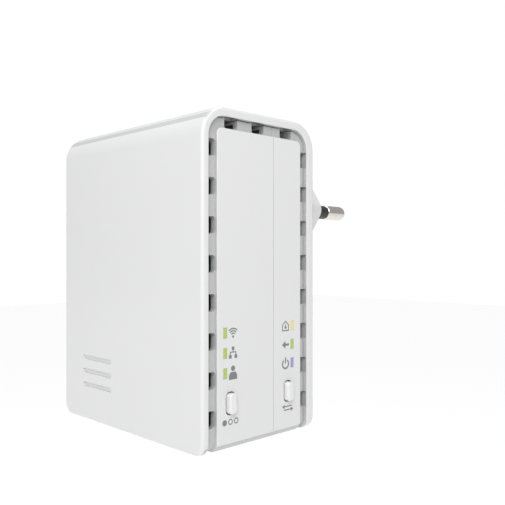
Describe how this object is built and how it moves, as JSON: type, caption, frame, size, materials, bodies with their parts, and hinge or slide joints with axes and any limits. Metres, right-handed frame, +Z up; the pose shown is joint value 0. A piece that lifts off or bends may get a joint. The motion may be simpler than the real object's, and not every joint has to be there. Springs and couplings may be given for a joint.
{
  "type": "powerline adapter",
  "caption": "Wall-plug powerline adapter with a wrap-round white sleeve, vented side panel, indicator windows, push buttons and a network port underneath.",
  "frame": {"origin": "centre of the plug nose's flat end face, the face that meets the bottom of the wall socket", "axes": "+Y into the wall along the plug's pins, +Z up, +X towards the panel with the indicators and buttons; the large front face looks along -Y"},
  "size_m": [0.0573, 0.071, 0.073],
  "materials": {
    "sleeve_plastic": "white semi-gloss moulded cover with a fine even surface",
    "housing_plastic": "white satin moulding of the inner case and its panel",
    "plug_plastic": "white thermoplastic plug nose",
    "pin_nickel": "nickel-plated brass pin",
    "pin_insulation": "black insulating sleeve",
    "contact_brass": "bare brass strip",
    "button_plastic": "white gloss button cap",
    "switch_plastic": "black switch body",
    "plunger_plastic": "grey switch plunger",
    "light_guide": "clear light guide",
    "circuit_board": "green solder-masked board",
    "jack_plastic": "black jack body",
    "contact_gold": "gold-plated spring contacts",
    "heat_sink_aluminium": "natural extruded aluminium",
    "shield_steel": "tinned steel shield",
    "crystal_nickel": "plated crystal can",
    "antenna_nickel": "stamped plated antenna",
    "ferrite": "dark ferrite",
    "tape_yellow": "yellow insulating tape",
    "film_yellow": "yellow moulded capacitor box",
    "can_sleeve": "dark shrink sleeve on an aluminium can",
    "varistor_blue": "blue dipped coating",
    "choke_grey": "grey choke housing",
    "fuse_plastic": "black moulded fuse",
    "screw_steel": "zinc-plated steel screw",
    "led_body": "lamp package",
    "chip_plastic": "black moulded package"
  },
  "bodies": {
    "case": {"antenna_left": "antenna_nickel", "antenna_right": "antenna_nickel", "board_link": "chip_plastic", "bridge_rectifier": "chip_plastic", "bulk_capacitor_lower": "can_sleeve", "bulk_capacitor_upper": "can_sleeve", "clock_crystal": "crystal_nickel", "flash_chip": "chip_plastic", "front_housing": "housing_plastic", "heat_sink": "heat_sink_aluminium", "housing_screw_lower_left": "screw_steel", "housing_screw_lower_right": "screw_steel", "housing_screw_upper_left": "screw_steel", "housing_screw_upper_right": "screw_steel", "jack_contacts": "contact_gold", "led_clients": "led_body", "led_data": "led_body", "led_home": "led_body", "led_network": "led_body", "led_power": "led_body", "led_wireless": "led_body", "light_guide_front": "light_guide", "light_guide_rear": "light_guide", "line_coupler": "chip_plastic", "line_magnetics": "chip_plastic", "main_chip": "chip_plastic", "mains_capacitor": "film_yellow", "mains_choke": "choke_grey", "mains_fuse": "fuse_plastic", "memory_chip": "chip_plastic", "mode_switch_body": "switch_plastic", "modem_chip": "chip_plastic", "network_jack": "jack_plastic", "optocoupler": "chip_plastic", "outer_sleeve": "sleeve_plastic", "output_capacitor": "can_sleeve", "pin_contact_live": "contact_brass", "pin_contact_neutral": "contact_brass", "pin_insulation_live": "pin_insulation", "pin_insulation_neutral": "pin_insulation", "plug_nose": "plug_plastic", "plug_pin_live": "pin_nickel", "plug_pin_neutral": "pin_nickel", "power_board": "circuit_board", "power_inductor": "ferrite", "radio_shield": "shield_steel", "rear_housing": "housing_plastic", "sync_switch_body": "switch_plastic", "transformer_core": "ferrite", "transformer_winding": "tape_yellow", "varistor": "varistor_blue", "wireless_board": "circuit_board"},
    "mode_key": {"mode_button": "button_plastic", "mode_switch_plunger": "plunger_plastic"},
    "sync_key": {"sync_button": "button_plastic", "sync_switch_plunger": "plunger_plastic"}
  },
  "joints": [
    {"name": "mode_press", "type": "slide", "parent": "case", "child": "mode_key", "axis": [-1, 0, 0], "range_m": [0, 0.0005], "stiffness_N_per_m": 3000},
    {"name": "sync_press", "type": "slide", "parent": "case", "child": "sync_key", "axis": [-1, 0, 0], "range_m": [0, 0.0005], "stiffness_N_per_m": 3000}
  ]
}
